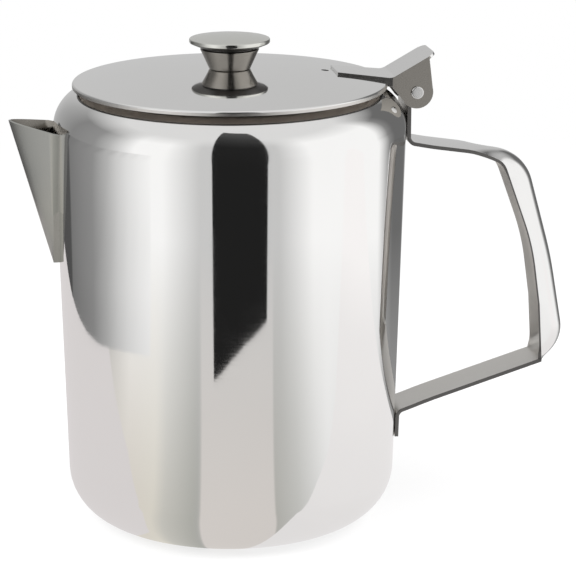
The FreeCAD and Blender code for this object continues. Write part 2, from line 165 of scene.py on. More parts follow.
class HingeSizes(bpy.types.PropertyGroup):
    """Sizes of the lid's hinge."""

    pin_x: length("Pin reach", "Distance of the hinge pin from the axis", 0.068267)
    pin_z: length("Pin height", "Height of the hinge pin", 0.161)
    pin_r: length("Pin radius", "Radius of the hinge pin", 0.0018)
    pin_half: length("Pin half length", "Half the pin's length between its heads", 0.01002)
    pin_edge: length("Pin edge", "Rounding of the pin's sharp edges", 0.0001)
    head_r: length("Head radius", "Radius of the pin's heads", 0.0024)
    head_t: length("Head height", "Height of the pin's heads", 0.0009)
    head_bend: share("Head rounding", "Share of a head's height that is rounded", 0.6)
    eye_play: length("Eye play", "Room between the pin and the strip's rolled eye", 0.00005)
    eye_start: degrees("Eye start", "Where the rolled eye starts, counted from the handle's side", -100)
    eye_turn: degrees("Eye turn", "How far the strip is rolled round the pin", 280)
    ear_x: length("Ear place", "Distance from the axis at which the strap's sides turn into ears", 0.0590)
    front_height: share("Front height", "Share of the strap's height left at its front end", 0.55)
    front_width: share("Front width", "Share of the strap's width left at its front end", 0.75)
    front_sheet: length("Front sheet", "Thickness of the strap's folded front end", 0.0008)
    leaf_edge: length("Leaf edge", "Rounding of the folded leaf's edges", 0.0004)


class KnobSizes(bpy.types.PropertyGroup):
    """Sizes of the lid's knob and its screw."""

    foot_r: length("Foot radius", "Radius of the knob where it stands on the lid", 0.0075)
    foot_z: length("Foot height", "Height of the knob's foot", 0.17012)
    foot_hollow: length("Foot hollow", "How far the foot rises towards its bore", 0.0001)
    neck_r: length("Neck radius", "Radius of the neck under the cap", 0.0109)
    neck_edge: length("Neck edge", "Rounding of the neck's edges", 0.0004)
    seam_z: length("Seam height", "Height of the seam under the cap", 0.1776)
    seam_r: length("Seam radius", "Radius inside the seam", 0.010)
    seam_h: length("Seam", "Height of the seam", 0.0007)
    spigot_r: length("Spigot radius", "Radius of the cap's spigot", 0.007)
    spigot_h: length("Spigot", "Depth of the cap's spigot", 0.0016)
    fit: length("Fit", "Room between the knob's neck, cap and screw", 0.00002)
    cap_foot_r: length("Cap foot", "Radius of the cap at the seam", 0.011)
    cap_r: length("Cap radius", "Radius of the cap", 0.0148)
    cap_z: length("Cap edge height", "Height of the cap's upper edge", 0.1813)
    cap_land: length("Cap land", "Height of the cap's upright edge", 0.0014)
    cap_crown: length("Cap crown", "Rise of the cap's middle", 0.0014)
    cap_edge: length("Cap edge", "Rounding of the cap's edges", 0.0006)
    screw_r: length("Screw radius", "Radius of the knob's screw", 0.002)
    screw_top: length("Screw end", "Height of the screw's end", 0.1746)
    screw_edge: length("Screw edge", "Rounding of the screw's edges", 0.0003)
    head_r: length("Screw head radius", "Radius of the screw's head", 0.0036)
    head_low: length("Screw head foot", "Height of the head's under side", 0.16629)
    head_top: length("Screw head top", "Height of the head's upper side", 0.16849)
    washer_r: length("Washer radius", "Radius of the washer", 0.005)
    washer_low: length("Washer foot", "Height of the washer's under side", 0.16851)
    washer_top: length("Washer top", "Height of the washer's upper side", 0.16931)
    washer_play: length("Washer play", "Room between the washer and the screw", 0.0002)
    washer_edge: length("Washer edge", "Rounding of the washer's edges", 0.0001)
    steps: count("Turn steps", "Faces round the knob", 96, 12)


class FinishValues(bpy.types.PropertyGroup):
    """Colours of the steel."""

    mirror: colour("Mirror steel", "Colour of the polished vessel and lid", (0.93, 0.925, 0.915))
    # Painted shade: the lip's colour is the vessel's steel darkened.
    lip: colour("Lip steel", "Colour of the welded lip", (0.46, 0.46, 0.435))
    # Painted shade: the darker colour of the strip's inner side and the lid's edge.
    inner: colour("Inner steel", "Colour of the strip's inner side and the lid's edge", (0.72, 0.70, 0.67))
    under: colour("Under steel", "Colour of the lid's under side", (0.88, 0.81, 0.74))
    # Painted shade under the knob's cap; the sheared edges' dark is their own.
    cut: colour("Cut steel", "Colour of sheared edges and under the knob's cap", (0.18, 0.175, 0.17))
    strip: colour("Strip steel", "Colour of the handle and hinge leaf", (0.90, 0.895, 0.885))
    cap: colour("Cap steel", "Colour of the knob's cap", (0.80, 0.80, 0.755))
    # Painted shade: the darker colour of the knob's neck, the hinge's ears and the lip's inside.
    dull: colour("Dull steel", "Colour of knob neck, hinge ears and the lip's inside", (0.36, 0.34, 0.31))
    plain: colour("Plain steel", "Colour of pin, screw and washer", (0.78, 0.775, 0.765))


class StageValues(bpy.types.PropertyGroup):
    """Camera, room and floor."""

    lens: FloatProperty(name="Lens", description="Focal length of the camera", default=162.5, unit="CAMERA")
    camera: FloatVectorProperty(
        name="Camera place",
        description="Where the camera stands",
        default=(-0.133916, -0.930706, 0.345472),
        unit="LENGTH",
        subtype="TRANSLATION",
    )
    turn: degrees("Camera turn", "Turn of the camera about the vertical", -9.5)
    tilt: degrees("Camera tilt", "Tilt of the camera from straight down", 74.608)
    roll: degrees("Camera roll", "Roll of the camera about its own line of sight", 0.1246)
    wall_top: degrees("Wall top", "Height at which the room's walls start to fade into its ceiling", 30)
    ceiling: degrees("Ceiling", "Height at which the room's ceiling starts", 52)
    tones_near: length("Near tones", "Distance from the pot to which the floor has its own tones", 0.10)
    tones_far: length("Far tones", "Distance from the pot at which the floor has the walls' tones", 0.45)
    near: length("Near floor", "Distance from the pot to which the floor keeps the shadow", 0.25)
    far: length("Far floor", "Distance from the pot at which the floor is the backdrop's white", 0.7)
    white: share("Floor white", "Share of the floor's white that needs no light and takes no shadow", 0.72)


GROUPS = {
    "pot_vessel": VesselSizes,
    "pot_lip": LipSizes,
    "pot_handle": HandleSizes,
    "pot_lid": LidSizes,
    "pot_hinge": HingeSizes,
    "pot_knob": KnobSizes,
    "pot_finish": FinishValues,
    "pot_stage": StageValues,
}


# How the steel is worked, with lengths in metres.
MERGE = 1e-6  # points closer than this are one point
SHEARED_EDGE = 0.0002  # rounding of a sheared edge
PAST_FOLD = 1.001  # share across a folded sheet past which a point lies beyond its fold
RELIEF = 0.00002  # depth of the polishing marks

# The line along which the grip's walls end, from the top arm to the low arm: distance from the
# axis and height, and for a corner its bend radius too.
FREE_EDGE_START = (0.076, 0.1409)
FREE_EDGE_CORNERS = [
    (0.0935, 0.1380, 0.05),
    (0.1024, 0.1330, 0.007),
    (0.1140, 0.101, 0.09),
    (0.1184, 0.070, 0.03),
]
FREE_EDGE_END_X = 0.1105
WALL_DEEPEST = 0.03  # no wall of the grip reaches further
ARC_TURN = 1.94  # an arc turns twice the angle of its chord, a little less with a straight edge
LEAST_CROWN = 0.01  # share of the crown that is left at the tabs

# Tones of the room's walls and of the floor near the pot, by bearing in degrees: 0 is the
# camera's side, 90 the handle and -90 the lip. The floor's tones near the pot are painted shadows
# that only the steel shows: a lighter wedge of painted shade opens from its point towards the camera
# between darker painted shadows on either side, and a darker painted shadow lies behind the handle.
ROOM_TONES = [
    (-180, 0.57), (-160, 0.40), (-131, 0.24), (-105, 0.29), (-92, 0.48), (-82, 0.72),
    (-72, 1.0), (-50, 1.0), (-27, 0.62), (22, 0.60), (44, 1.0), (100, 1.0), (114, 0.25),
    (122, 0.15), (148, 0.15), (158, 0.55), (180, 0.57),
]
# Painted shade of the wedge in front of the pot.
WEDGE_SHADE = (0.675, 0.64, 0.615)
FLOOR_TONES = [
    (-180, 0.62), (-75, (0.70, 0.66, 0.60)), (-58, (0.72, 0.69, 0.62)),
    (-50, (0.58, 0.57, 0.53)), (-32, (0.44, 0.44, 0.41)), (-28.2, (0.43, 0.43, 0.41)),
    (-27.8, WEDGE_SHADE), (18.8, WEDGE_SHADE), (19.2, (0.46, 0.455, 0.43)), (34, (0.56, 0.56, 0.54)),
    (57, 0.83), (75, 0.76), (105, 0.66), (114, 0.35), (150, 0.30), (165, 0.60), (180, 0.62),
]
WEDGE_POINT = (-0.003, -0.021, 0)
CEILING_TONE = (0.75, 0.75, 0.75, 1)

# Cards that only the steel shows: the line of each one's foot with its brightness there, then
# its rows with their tones.
DARK_CARD_FOOT = [
    (-0.078, -0.237, 1), (-0.037, -0.273, 1), (0, -0.295, 1), (0.037, -0.307, 1),
    (0.077, -0.318, 1),
]
DARK_CARD_TONES = [(0, 0.0145), (0.28, 0.0165), (0.40, 0.036), (0.60, 0.065), (1.0, 0.10)]
LEFT_SHEET_FOOT = [
    (-0.040, -0.042, 1), (-0.050, -0.047, 1), (-0.065, -0.053, 1), (-0.090, -0.057, 1),
    (-0.145, -0.052, 1), (-0.175, -0.041, 1), (-0.230, -0.018, 1), (-0.290, 0.006, 1),
]
LEFT_SHEET_TONE = (0.72, 0.69, 0.69)
RIGHT_SHEET_FOOT = [
    (-0.004, -0.046, 0.80), (0.018, -0.068, 0.80), (0.026, -0.0755, 0.80),
    (0.036, -0.0845, 0.81), (0.045, -0.0905, 0.81), (0.056, -0.0920, 0.82),
    (0.080, -0.0975, 0.84), (0.120, -0.101, 0.85), (0.175, -0.113, 0.87), (0.280, -0.145, 0.90),
    (0.400, -0.180, 1.0), (3.0, -1.0, 1.0),
]
RIGHT_SHEET_TONE = (1.0, 0.98, 0.98)
SHADE_FOOT = [(-0.272, 0, 0.86), (-0.36, 0, 0.94), (-0.55, 0, 1), (-3.0, 0, 1)]
SHADE_TONES = [
    (-58, 1.0, 0.98), (-66, 1.0, 0.90), (-74, 1.0, 0.80), (-82, 1.0, 0.66), (-92, 1.0, 0.46),
    (-105, 1.02, 0.28), (-118, 1.08, 0.24), (-131, 1.2, 0.20), (-133, 1.22, 0.09),
    (-145, 1.5, 0.09), (-155, 2.0, 0.09),
]

# The floor, what lies on it and the lamps, in metres.
FLOOR_HALF = 4.0
FLOOR_DROP = 0.0002  # how far the floor lies below the pot's base
FLOOR_PAINT = (0.9, 0.9, 0.9, 1)
SHEET_LIFT = 0.0003
SHADE_LIFT = 0.0005
LAMP_SIZE = 0.9
LAMP_REACH = 0.9
LAMP_HEIGHT = 0.8
LAMP_AIM = 0.08  # height at which both lamps point


def flat(x, z):
    """A point in the pot's middle plane."""
    return Vector((x, 0, z))


def draw_to(bm, vert, point):
    """Draws a straight edge from a vertex by extruding it."""
    tip = bmesh.ops.extrude_vert_indiv(bm, verts=[vert])["verts"][0]
    tip.co = point
    return tip


def draw_arc(bm, vert, centre, axis, angle, steps):
    """Draws an arc from a vertex by spinning it."""
    made = bmesh.ops.spin(bm, geom=[vert], cent=centre, axis=axis, angle=angle, steps=steps)
    return [v for v in made["geom_last"] if isinstance(v, bmesh.types.BMVert)][0]


def draw_bent(bm, vert, points, bends, steps):
    """Draws on from a vertex through corners, each rounded by its bend radius."""
    path = [vert.co.copy()] + [flat(*p) for p in points]
    for i, bend in enumerate(bends):
        corner = path[i + 1]
        into = (corner - path[i]).normalized()
        out = (path[i + 2] - corner).normalized()
        turn = into.angle(out)
        if bend == 0:
            vert = draw_to(bm, vert, corner)
            continue
        vert = draw_to(bm, vert, corner - into * bend * math.tan(turn / 2))
        axis = into.cross(out).normalized()
        centre = vert.co + axis.cross(into) * bend
        vert = draw_arc(bm, vert, centre, axis, turn, steps)
    return draw_to(bm, vert, path[-1])


def top_end(bm):
    """The higher one of a drawn line's two ends."""
    ends = [v for v in bm.verts if len(v.link_edges) == 1]
    return max(ends, key=lambda v: v.co.z)


def in_order(first):
    """The vertices of a drawn line, from its first one."""
    found = [first]
    edge = first.link_edges[0]
    while edge:
        vert = edge.other_vert(found[-1])
        found.append(vert)
        following = [e for e in vert.link_edges if e is not edge]
        edge = following[0] if following else None
    return found


def next_row(bm, row, place):
    """Extrudes a row of edges and puts each new vertex in its place."""
    edges = [bm.edges.get(pair) for pair in zip(row, row[1:])]
    made = bmesh.ops.extrude_edge_only(bm, edges=edges)["geom"]
    partner = {}
    for vert in [g for g in made if isinstance(g, bmesh.types.BMVert)]:
        for edge in vert.link_edges:
            partner.setdefault(edge.other_vert(vert), vert)
    moved = [partner[v] for v in row]
    for i, vert in enumerate(moved):
        vert.co = place(i)
    return moved


def sheet_across(bm, line, rows, across):
    """Widens a drawn line into a sheet: across gives each point's place for a share from -1 to 1."""
    shares = [k / rows for k in range(-rows, rows + 1)]
    for i, vert in enumerate(line):
        vert.co = across(i, shares[0])
    for part in shares[1:]:
        line = next_row(bm, line, lambda i, part=part: across(i, part))


def face_outwards(bm, direction):
    """Turns an open sheet's faces so that the one furthest in a direction looks that way."""
    bmesh.ops.recalc_face_normals(bm, faces=bm.faces[:])
    far = max(bm.faces, key=lambda f: f.calc_center_median().dot(direction))
    if far.normal.dot(direction) < 0:
        bmesh.ops.reverse_faces(bm, faces=bm.faces[:])


def turned(bm, steps):
    """Spins the drawn section about the upright axis into a closed round."""
    geom = bm.verts[:] + bm.edges[:]
    bmesh.ops.spin(
        bm, geom=geom, cent=(0, 0, 0), axis=(0, 0, 1), angle=math.tau, steps=steps, use_merge=True
    )
    bmesh.ops.remove_doubles(bm, verts=bm.verts[:], dist=MERGE)
    bmesh.ops.recalc_face_normals(bm, faces=bm.faces[:])


def cut_faces(bm, faces, point, normal):
    """Cuts faces along a plane."""
    edges = {e for f in faces for e in f.edges}
    verts = {v for f in faces for v in f.verts}
    geom = [*faces, *edges, *verts]
    bmesh.ops.bisect_plane(bm, geom=geom, dist=MERGE, plane_co=point, plane_no=normal)


def closed_section(bm, points):
    """Draws a closed section from its corners."""
    first = bm.verts.new(flat(*points[0]))
    last = first
    for p in points[1:]:
        last = draw_to(bm, last, flat(*p))
    bm.edges.new((last, first))


def add_object(name, data):
    """Adds an object to the scene."""
    obj = bpy.data.objects.new(name, data)
    bpy.context.scene.collection.objects.link(obj)
    return obj


def mesh_object(bm, name, materials):
    """Turns a bmesh into an object."""
    mesh = bpy.data.meshes.new(name)
    bm.to_mesh(mesh)
    bm.free()
    for material in materials:
        mesh.materials.append(material)
    return add_object(name, mesh)


def steel_piece(bm, name, body, slot, materials, *nodes):
    """Makes a smooth piece that rides a body and stands for CAD nodes."""
    for face in bm.faces:
        face.smooth = True
    obj = mesh_object(bm, name, materials)
    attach(obj, body)
    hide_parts(*nodes)
    return obj


def thicken(obj, sheet, inner=0, rim=0):
    """Gives a sheet its thickness on the inner side, with that side's and the rim's materials."""
    solid = obj.modifiers.new("sheet", "SOLIDIFY")
    solid.thickness = sheet
    solid.offset = -1
    solid.use_even_offset = True
    solid.use_quality_normals = True
    solid.material_offset = inner
    solid.material_offset_rim = rim


def ease_edges(obj, width, angle=40, segments=2):
    """Rounds the sharp edges of a piece and lets its broad faces set the shading."""
    ease = obj.modifiers.new("edges", "BEVEL")
    ease.width = width
    ease.segments = segments
    ease.limit_method = "ANGLE"
    ease.angle_limit = math.radians(angle)
    ease.use_clamp_overlap = True
    weighted = obj.modifiers.new("shading", "WEIGHTED_NORMAL")
    weighted.mode = "FACE_AREA"
    weighted.weight = 50
    weighted.keep_sharp = True


def add_node(tree, kind, inputs, **settings):
    """Adds a node and gives each named input a value or another node's output."""
    node = tree.nodes.new(kind)
    for key, value in settings.items():
        setattr(node, key, value)
    for key, given in inputs.items():
        if isinstance(given, bpy.types.NodeSocket):
            tree.links.new(given, node.inputs[key])
        else:
            node.inputs[key].default_value = given
    return node


def mix_colour(tree, factor, first, second):
    """Blends two colours."""
    inputs = {"Factor": factor, "A": first, "B": second}
    return add_node(tree, "ShaderNodeMix", inputs, data_type="RGBA").outputs["Result"]


def node_group(name, inputs, outputs):
    """An empty shader node group with what it is given and what it results in."""
    group = bpy.data.node_groups.new(name, "ShaderNodeTree")
    for side, sockets in (("INPUT", inputs), ("OUTPUT", outputs)):
        for label, kind in sockets.items():
            group.interface.new_socket(label, in_out=side, socket_type=f"NodeSocket{kind}")
    given = group.nodes.new("NodeGroupInput").outputs
    return group, given, group.nodes.new("NodeGroupOutput").inputs


def polish_group():
    """Fine marks of the polishing wheel, stretched along each piece, with soft smears over them."""
    if "polish marks" in bpy.data.node_groups:
        return bpy.data.node_groups["polish marks"]
    group, given, result = node_group(
        "polish marks",
        {"Vector": "Vector", "Along": "Vector", "Smooth": "Float", "Dull": "Float"},
        {"Roughness": "Float", "Height": "Float"},
    )
    place = given["Vector"]
    stretch = add_node(group, "ShaderNodeVectorMath", {0: place, 1: given["Along"]}, operation="MULTIPLY")
    fine = {"Vector": stretch.outputs[0], "Scale": 1.0, "Detail": 3.0}
    marks = add_node(group, "ShaderNodeTexNoise", fine).outputs["Fac"]
    soft = {"Vector": place, "Scale": 55.0, "Detail": 2.0}
    smears = add_node(group, "ShaderNodeTexNoise", soft).outputs["Fac"]
    both = add_node(group, "ShaderNodeMath", {0: marks, 1: smears}, operation="MULTIPLY")
    spread = {"From Min": 0.12, "From Max": 0.42, "To Min": given["Smooth"], "To Max": given["Dull"]}
    roughness = add_node(group, "ShaderNodeMapRange", {"Value": both.outputs[0], **spread})
    group.links.new(roughness.outputs["Result"], result["Roughness"])
    group.links.new(marks, result["Height"])
    return group


def tint_group():
    """Slight warm and cool drift of the steel's colour."""
    if "steel tint" in bpy.data.node_groups:
        return bpy.data.node_groups["steel tint"]
    group, given, result = node_group(
        "steel tint",
        {"Vector": "Vector", "Steel": "Color", "Drift": "Color"},
        {"Color": "Color"},
    )
    soft = {"Vector": given["Vector"], "Scale": 30.0, "Detail": 2.0}
    cloud = add_node(group, "ShaderNodeTexNoise", soft)
    tint = mix_colour(group, cloud.outputs["Fac"], given["Steel"], given["Drift"])
    group.links.new(tint, result["Color"])
    return group


def steel(finish, drift, smooth, dull, along, bump):
    """A steel material in one of the finish colours, from the shared groups."""
    name = f"{finish}_steel"
    if name in bpy.data.materials:
        return bpy.data.materials[name]
    tone = getattr(bpy.context.scene.pot_finish, finish)
    drifted = [c * drift for c in tone]
    material = bpy.data.materials.new(name)
    material.use_nodes = True
    tree = material.node_tree
    place = tree.nodes.new("ShaderNodeTexCoord").outputs["Object"]
    colours = {"Vector": place, "Steel": (*tone, 1), "Drift": (*drifted, 1)}
    tint = add_node(tree, "ShaderNodeGroup", colours, node_tree=tint_group())
    marks = {"Vector": place, "Along": along, "Smooth": smooth, "Dull": dull}
    polish = add_node(tree, "ShaderNodeGroup", marks, node_tree=polish_group())
    raised = {"Height": polish.outputs["Height"], "Strength": bump, "Distance": RELIEF}
    relief = add_node(tree, "ShaderNodeBump", raised)
    surface = tree.nodes["Principled BSDF"].inputs
    surface["Metallic"].default_value = 1.0
    tree.links.new(tint.outputs["Color"], surface["Base Color"])
    tree.links.new(polish.outputs["Roughness"], surface["Roughness"])
    tree.links.new(relief.outputs["Normal"], surface["Normal"])
    return material


def mirror_steel():
    """The vessel's and lid's mirror polish."""
    return steel("mirror", drift=0.97, smooth=0.03, dull=0.075, along=(60, 60, 2600), bump=0.05)


def strip_steel():
    """The handle's and hinge leaf's polish, a little duller."""
    return steel("strip", drift=0.96, smooth=0.06, dull=0.13, along=(400, 2200, 400), bump=0.08)


def shaded_lip_steel():
    """The welded lip, brushed, its colour darkened with painted shade."""
    return steel("lip", drift=0.88, smooth=0.12, dull=0.24, along=(500, 500, 60), bump=0.12)


def inner_shade_steel():
    """The strip's inner side and the lid's edge, left rough as they came from the press, their colour
    darkened with painted shade.
    """
    return steel("inner", drift=0.92, smooth=0.3, dull=0.42, along=(900, 900, 900), bump=0.12)


def under_steel():
    """The lid's under side, not polished."""
    return steel("under", drift=0.92, smooth=0.6, dull=0.8, along=(300, 300, 300), bump=0.12)


def cut_and_shade_steel():
    """Sheared edges, dull and dark, and the painted shade under the knob's cap."""
    return steel("cut", drift=0.8, smooth=0.35, dull=0.5, along=(900, 900, 900), bump=0.2)


def cap_steel():
    """The knob's turned cap, with rings from the lathe."""
    return steel("cap", drift=0.92, smooth=0.12, dull=0.24, along=(300, 300, 4000), bump=0.15)


def dark_shade_steel():
    """The knob's neck, the hinge's ears and the lip's inside, darkened with painted shade."""
    return steel("dull", drift=0.88, smooth=0.16, dull=0.30, along=(300, 300, 4000), bump=0.15)


def plain_steel():
    """Pin, screw and washer."""
    return steel("plain", drift=0.92, smooth=0.18, dull=0.34, along=(900, 900, 900), bump=0.10)


class POT_OT_vessel(bpy.types.Operator):
    """Spins the vessel and cuts the window through which it pours"""

    bl_idname = "pot.vessel"
    bl_label = "Vessel"

    def execute(self, context):
        s = context.scene.pot_vessel
        bm = bmesh.new()
        first = bm.verts.new(flat(0, 0))
        points = [
            (s.foot_r, 0),
            (s.side(s.window_low), s.window_low),
            (s.side(s.window_top), s.window_top),
            (s.shoulder_r, s.shoulder_z),
            (s.neck_r, s.neck_foot),
            (s.neck_r, s.neck_z),
        ]
        draw_bent(bm, first, points, [s.base_bend, 0, 0, s.shoulder_bend, s.neck_bend], steps=14)
        turned(bm, s.steps)
        self.cut_window(bm, s)
        obj = steel_piece(bm, "vessel", "pot", "vessel_steel", [mirror_steel()], "vessel_shell")
        thicken(obj, s.wall)
        ease_edges(obj, SHEARED_EDGE, angle=50)
        return {"FINISHED"}

    def cut_window(self, bm, s):
        """Cuts the V-shaped window behind the lip."""
        rise = s.window_top - s.window_low
        past_corner = s.window_half * 1.2
        least_edge = s.wall * 0.4

        def near(face):
            p = face.calc_center_median()
            return p.x < 0 and abs(p.y) < past_corner and s.window_low < p.z < s.window_top

        for side in (-1, 1):
            slope = Vector((0, side * rise, -s.window_half))
            cut_faces(bm, [f for f in bm.faces if near(f)], (0, 0, s.window_low), slope)
        inside = []
        for face in bm.faces:
            p = face.calc_center_median()
            if near(face) and abs(p.y) < s.window_half * (p.z - s.window_low) / rise:
                inside.append(face)
        bmesh.ops.delete(bm, geom=inside, context="FACES")
        below_neck = s.window_top + s.wall
        cut = [e for e in bm.edges if e.is_boundary and e.verts[0].co.z < below_neck]
        rim = {v for e in cut for v in e.verts}
        around = list({o for v in rim for e in v.link_edges for o in e.verts})
        bmesh.ops.remove_doubles(bm, verts=around, dist=least_edge)


class POT_OT_lip(bpy.types.Operator):
    """Folds the pouring lip from one sheet, with a round front and a flange to the wall on each side"""

    bl_idname = "pot.lip"
    bl_label = "Pouring lip"

    def execute(self, context):
        s = context.scene.pot_lip
        vessel = context.scene.pot_vessel
        bm = bmesh.new()
        first = bm.verts.new(flat(-s.tip_x, s.tip_z))
        draw_to(bm, first, flat(-s.fold_x, s.end_z))
        bmesh.ops.subdivide_edges(bm, edges=bm.edges[:], cuts=24)
        line = in_order(top_end(bm))
        front = [vert.co.copy() for vert in line]
        flank = math.sqrt(1 + s.nose**2) - s.nose

        def across(i, part):
            tip = front[i]
            up = (tip.z - s.end_z) / (s.tip_z - s.end_z)
            half = s.low_half + (s.rim_half - s.low_half) * up
            u = part * (1 + 1 / s.rows)
            back = (math.sqrt(u**2 + s.nose**2) - s.nose) / flank
            x = tip.x - (s.fold_x + tip.x) * back
            if abs(u) > PAST_FOLD:
                x = -math.sqrt((vessel.side(tip.z) - s.sunk) ** 2 - half**2)
            y = half * max(-1, min(1, u))
            return Vector((x, y, tip.z - math.tan(s.rise) * (x - tip.x) * up))

        sheet_across(bm, line, s.rows + 1, across)
        face_outwards(bm, Vector((-1, 0, 0)))
        # The lip's outside and its inside both get steel darkened with painted shade.
        finishes = [shaded_lip_steel(), dark_shade_steel()]
        obj = steel_piece(bm, "lip", "pot", "vessel_steel", finishes, "pouring_lip")
        thicken(obj, s.sheet, inner=1)
        ease_edges(obj, SHEARED_EDGE, angle=35)
        return {"FINISHED"}


class POT_OT_handle(bpy.types.Operator):
    """Bends the strip, folds the grip's walls and rolls the hinge eye"""

    bl_idname = "pot.handle"
    bl_label = "Handle"

    def execute(self, context):
        s = context.scene.pot_handle
        hinge = context.scene.pot_hinge
        longest_bend_edge = 0.006
        bm = bmesh.new()
        eye = hinge.pin_r + hinge.eye_play
        pin = flat(hinge.pin_x, hinge.pin_z)
        start = flat(math.cos(hinge.eye_start), math.sin(hinge.eye_start))
        first = bm.verts.new(pin + eye * start)
        vert = draw_arc(bm, first, pin, (0, -1, 0), hinge.eye_turn, steps=28)
        points = [
            (s.tab_x, s.top_arm_z),
            (s.top_x, s.top_z),
            (s.grip_x, s.grip_z),
            (s.low_x, s.low_z),
            (s.low_arm_x, s.low_arm_z),
            (s.low_tab_x, s.low_tab_z),
        ]
        bends = [s.tab_bend, s.top_bend, s.grip_bend, s.low_bend, s.tab_bend]
        draw_bent(bm, vert, points, bends, steps=12)
        straight = [e for e in bm.edges if e.calc_length() > longest_bend_edge]
        bmesh.ops.subdivide_edges(bm, edges=straight, cuts=12)
        self.fold(bm, in_order(top_end(bm)), s)
        # The strip's inner side gets steel darkened with painted shade, its sheared rim the dark cut steel.
        finishes = [strip_steel(), inner_shade_steel(), cut_and_shade_steel()]
        obj = steel_piece(bm, "handle", "pot", "handle_steel", finishes, "handle_strip")
        thicken(obj, s.strip, inner=1, rim=2)
        ease_edges(obj, SHEARED_EDGE, angle=50)
        return {"FINISHED"}

    def fold(self, bm, line, s):
        """Widens the drawn line into a strip and presses its grip into a half round."""
        free = self.free_edge(s)
        middle = [vert.co.copy() for vert in line]
        inward, depth = [], []
        for i, point in enumerate(middle):
            along = (middle[min(i + 1, len(middle) - 1)] - middle[max(i - 1, 0)]).normalized()
            inward.append(Vector((along.z, 0, -along.x)))
            depth.append(self.reach(point, inward[-1], free) if point.x > free[0].x else 0)
        self.run_out(middle, inward, depth, s)

        def across(i, part):
            off_tab = (middle[i].x - s.tab_x) / s.half
            crown = s.crown * min(1, max(LEAST_CROWN, off_tab))
            out, deep = self.pressed(max(depth[i], crown), part * (1 + 1 / s.rows), s)
            return middle[i] + inward[i] * deep + Vector((0, out, 0))

        sheet_across(bm, line, s.rows + 1, across)
        face_outwards(bm, Vector((1, 0, 0)))

    def run_out(self, middle, inward, depth, s):
        """Leads the free edges of the grip's walls round the low corner down to the low arm."""
        turn = [i for i, p in enumerate(middle) if p.x > s.wall_end_x and p.z < s.wall_turn_z]
        first, last = turn[0], turn[-1]
        top = middle[first] + inward[first] * depth[first]
        end = middle[last]
        way = [0.0]
        for i in turn[1:]:
            way.append(way[-1] + (middle[i] - middle[i - 1]).length)
        for i, gone in zip(turn, way):
            across = top.lerp(end, gone / way[-1]) - middle[i]
            depth[i] = across.length
            if depth[i] > s.crown:
                inward[i] = across.normalized()
        for i in range(last, len(depth)):
            depth[i] = 0

    def pressed(self, depth, u, s):
        """Place across the pressed strip: on an arc up to one, then at its straight edge."""
        side = math.copysign(1, u)
        if abs(u) > PAST_FOLD:
            return side * s.half, depth
        slope = min(ARC_TURN * math.atan2(depth, s.half), s.press)
        radius = (s.half * math.sin(slope) - depth * math.cos(slope)) / (1 - math.cos(slope))
        turn = slope * abs(u)
        return side * radius * math.sin(turn), radius * (1 - math.cos(turn))

    def free_edge(self, s):
        """The line along which the grip's walls end."""
        bm = bmesh.new()
        first = bm.verts.new(flat(*FREE_EDGE_START))
        points = [(x, z) for x, z, bend in FREE_EDGE_CORNERS] + [(FREE_EDGE_END_X, s.low_arm_z)]
        draw_bent(bm, first, points, [bend for x, z, bend in FREE_EDGE_CORNERS], steps=10)
        line = [v.co.copy() for v in in_order(first)]
        bm.free()
        return line

    def reach(self, point, direction, line):
        """How far a line lies from a point in one direction, or nothing where it isn't met."""
        end = point + direction * WALL_DEEPEST
        met = [intersect_line_line_2d(point.xz, end.xz, a.xz, b.xz) for a, b in zip(line, line[1:])]
        return min(((place - point.xz).length for place in met if place is not None), default=0)


class POT_OT_lid(bpy.types.Operator):
    """Spins the domed lid and pierces its steam vent"""

    bl_idname = "pot.lid"
    bl_label = "Lid"

    def execute(self, context):
        s = context.scene.pot_lid
        bm = bmesh.new()
        centre = flat(0, s.crown_z - s.dome_r)
        bend_x = s.radius - s.edge_bend
        bend_z = centre.z + math.sqrt((s.dome_r - s.edge_bend) ** 2 - bend_x**2)
        start = math.asin(s.hole_r / s.dome_r)
        end = math.atan2(bend_x, bend_z - centre.z)
        first = bm.verts.new(centre + s.dome_r * flat(math.sin(start), math.cos(start)))
        vert = draw_arc(bm, first, centre, (0, 1, 0), end - start, steps=24)
        vert = draw_arc(bm, vert, flat(bend_x, bend_z), (0, 1, 0), math.pi / 2 - end, steps=8)
        draw_to(bm, vert, flat(s.radius, s.edge_z))
        turned(bm, context.scene.pot_vessel.steps)
        self.pierce(bm, s)
        # The edge's steep faces get the darker steel, painted shade for the band under the lid.
        for face in bm.faces:
            if face.normal.z < s.shade_from:
                face.material_index = 1
        finishes = [mirror_steel(), inner_shade_steel(), under_steel(), cut_and_shade_steel()]
        obj = steel_piece(bm, "lid", "lid", "lid_steel", finishes, "lid_disc")
        thicken(obj, s.sheet, inner=2, rim=3)
        ease_edges(obj, SHEARED_EDGE, angle=50)
        return {"FINISHED"}

    def pierce(self, bm, s):
        """Cuts the round vent from a small patch of the dome."""
        middle = Vector((s.vent_x, 0, 0))
        sides = 12
        patch_r = s.vent_r * 2.2
        inner_r = s.vent_r * 0.96

        def within(radius):
            return [f for f in bm.faces if (self.level(f) - middle).length < radius]

        for k in range(sides):
            a = math.tau * k / sides
            normal = Vector((math.cos(a), math.sin(a), 0))
            cut_faces(bm, within(patch_r), middle + normal * s.vent_r, normal)
        bmesh.ops.delete(bm, geom=within(inner_r), context="FACES")

    def level(self, face):
        """A face's centre, seen from above."""
        p = face.calc_center_median()
        return Vector((p.x, p.y, 0))


